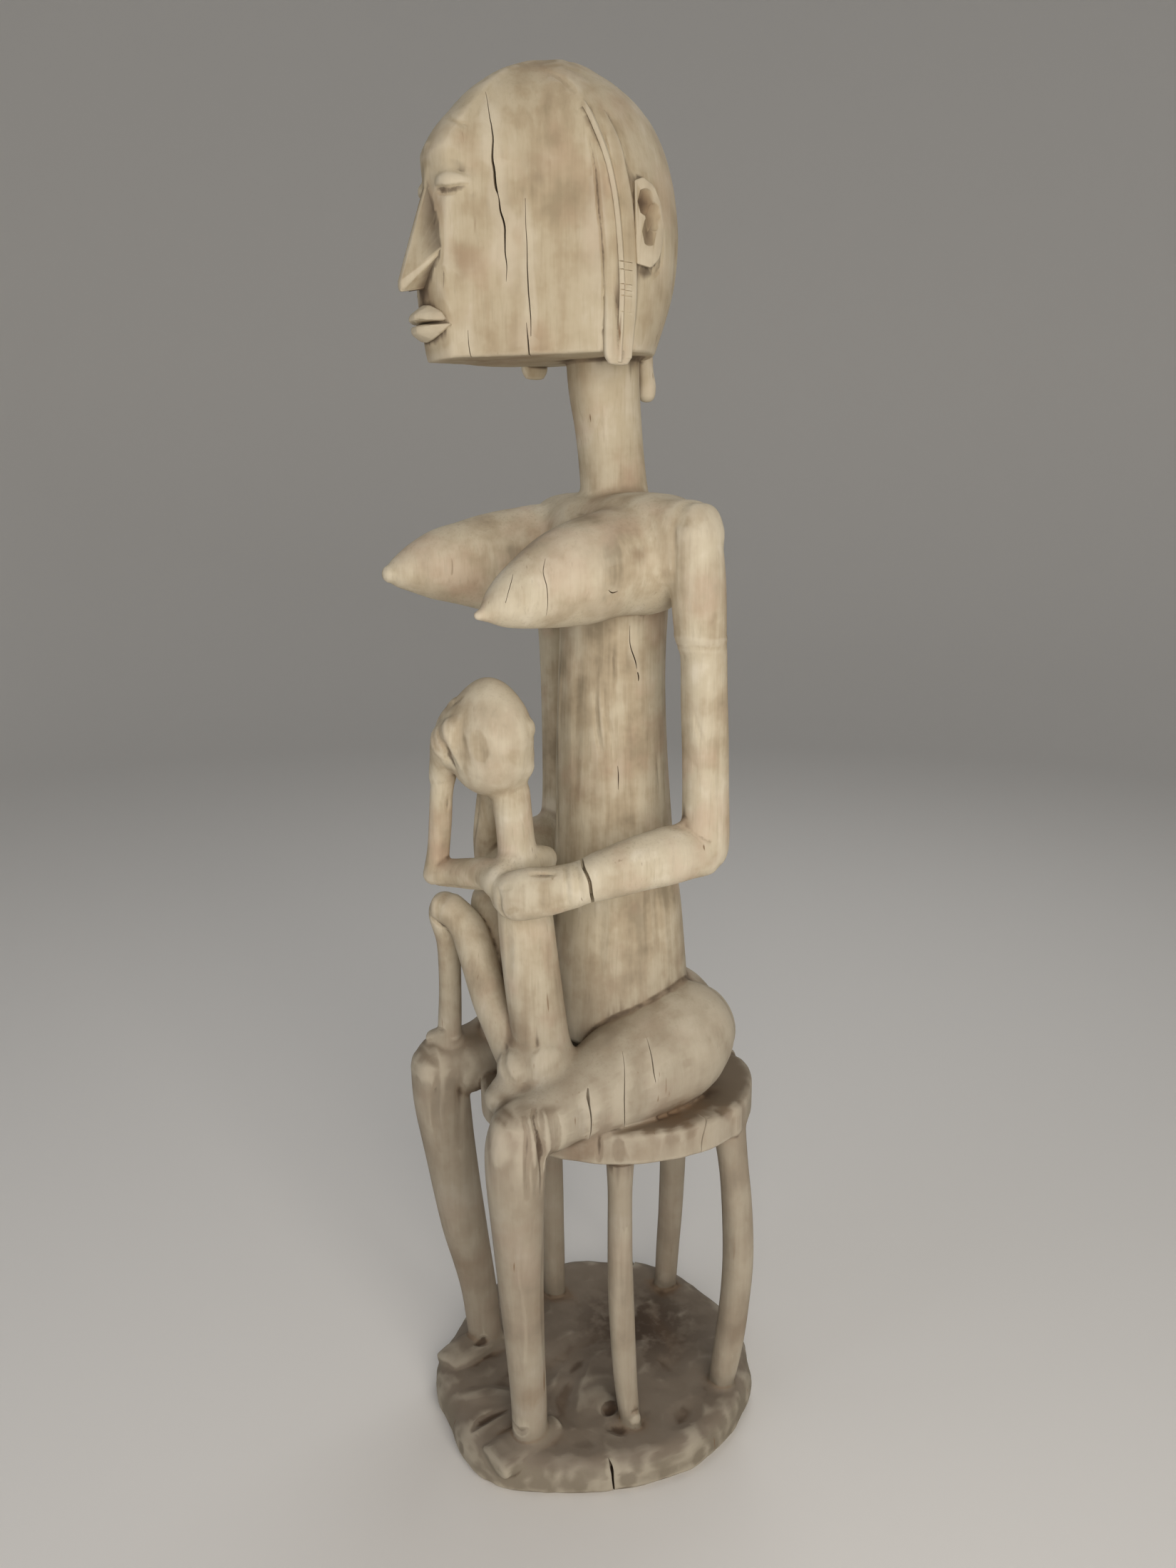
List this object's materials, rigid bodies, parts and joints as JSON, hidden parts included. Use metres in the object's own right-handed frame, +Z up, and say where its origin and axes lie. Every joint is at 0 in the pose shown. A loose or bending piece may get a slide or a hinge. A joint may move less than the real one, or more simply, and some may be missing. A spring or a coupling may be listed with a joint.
{
  "type": "seated mother and child figure",
  "caption": "Weathered carved wood figure of a seated mother with a child on her lap, on a round stool with bowed legs above a round base.",
  "frame": {"origin": "centre of the round base's flat underside", "axes": "+Z up, the mother faces -Y, +X is her left"},
  "size_m": [0.197, 0.2055, 0.7463],
  "materials": {
    "weathered_hardwood": "bare, dry and matt, bleached by weather, with drying cracks"
  },
  "bodies": {
    "root": {"maternity_figure": "weathered_hardwood"}
  },
  "joints": []
}
